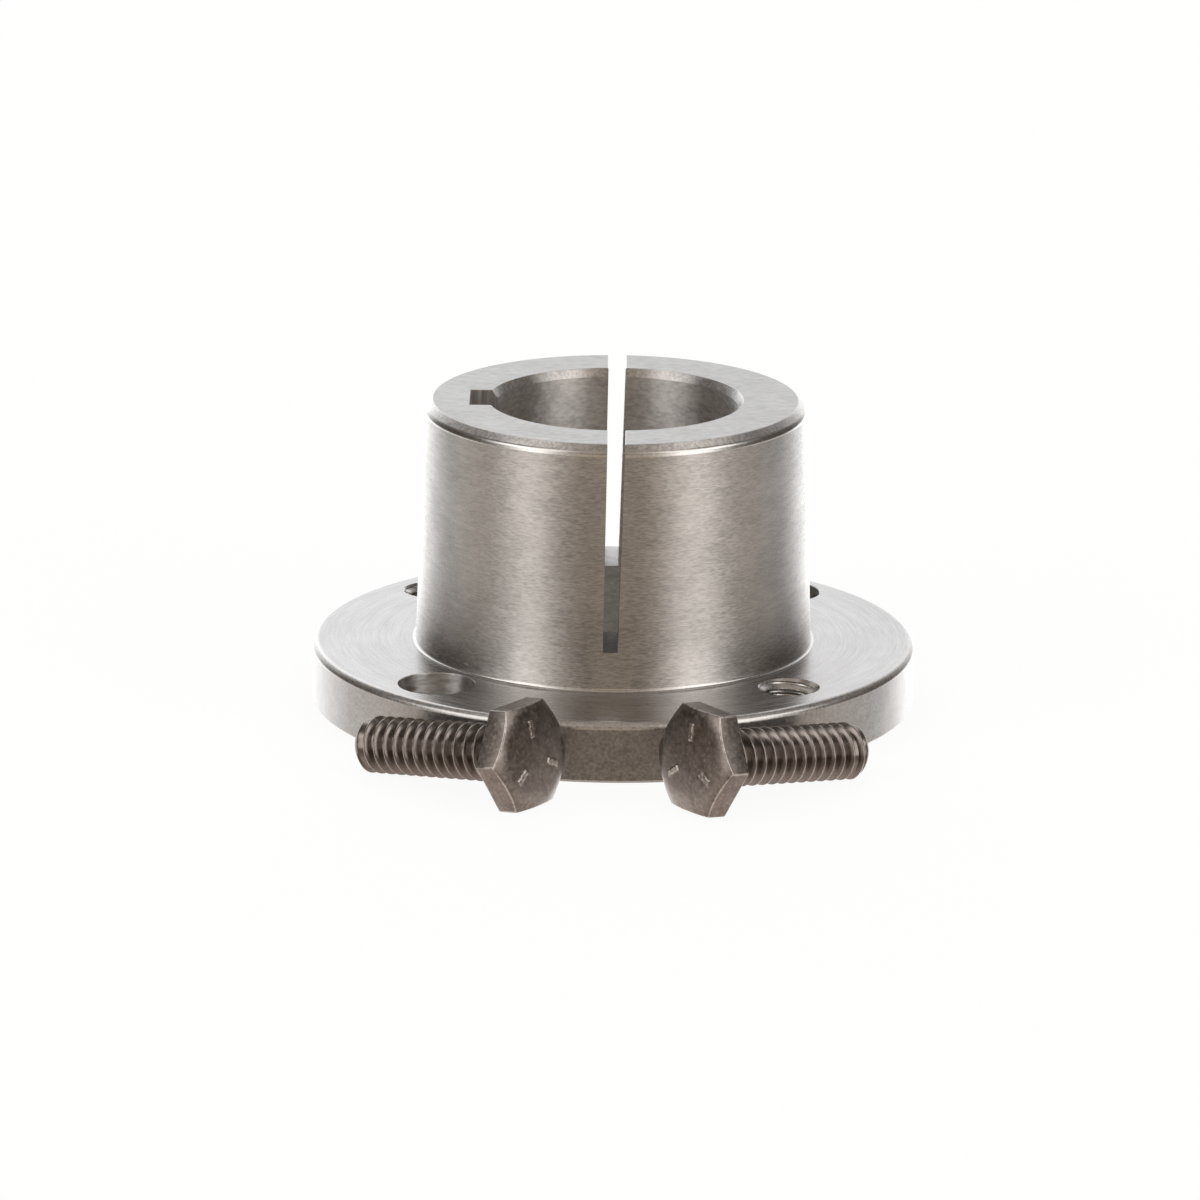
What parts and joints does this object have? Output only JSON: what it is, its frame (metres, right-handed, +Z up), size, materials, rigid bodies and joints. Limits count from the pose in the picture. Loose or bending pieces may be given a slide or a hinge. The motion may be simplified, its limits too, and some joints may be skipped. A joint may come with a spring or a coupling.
{
  "type": "split taper bushing",
  "caption": "Flanged split taper bushing with a keyed bore, standing on its flange, with the loose hex cap screws that draw it into or push it out of a hub.",
  "frame": {"origin": "on the floor under the middle of the whole set's box; the bushing's axis is vertical at x 0, y 0.007033", "axes": "+Z up along the bushing's axis, from the flange's back face to the small end; -Y to the front, where the two screws lie; +X to the right, so the keyway faces -X"},
  "size_m": [0.0628, 0.077, 0.032],
  "materials": {
    "turned_steel": "bare turned carbon steel with fine circumferential tool marks, faced ends, light oil film",
    "black_oxide_steel": "black oxide over cold-formed and rolled steel, semi-matt, worn lighter on crests and edges"
  },
  "bodies": {
    "bushing": {"split_taper_bushing": "turned_steel"},
    "left_screw": {"cap_screw_left": "black_oxide_steel"},
    "right_screw": {"cap_screw_right": "black_oxide_steel"}
  },
  "joints": [
    {"name": "left_screw_lift", "type": "slide", "parent": "bushing", "child": "left_screw", "axis": [0, 0, 1], "range_m": [0, 0.05]},
    {"name": "right_screw_lift", "type": "slide", "parent": "bushing", "child": "right_screw", "axis": [0, 0, 1], "range_m": [0, 0.05]}
  ]
}
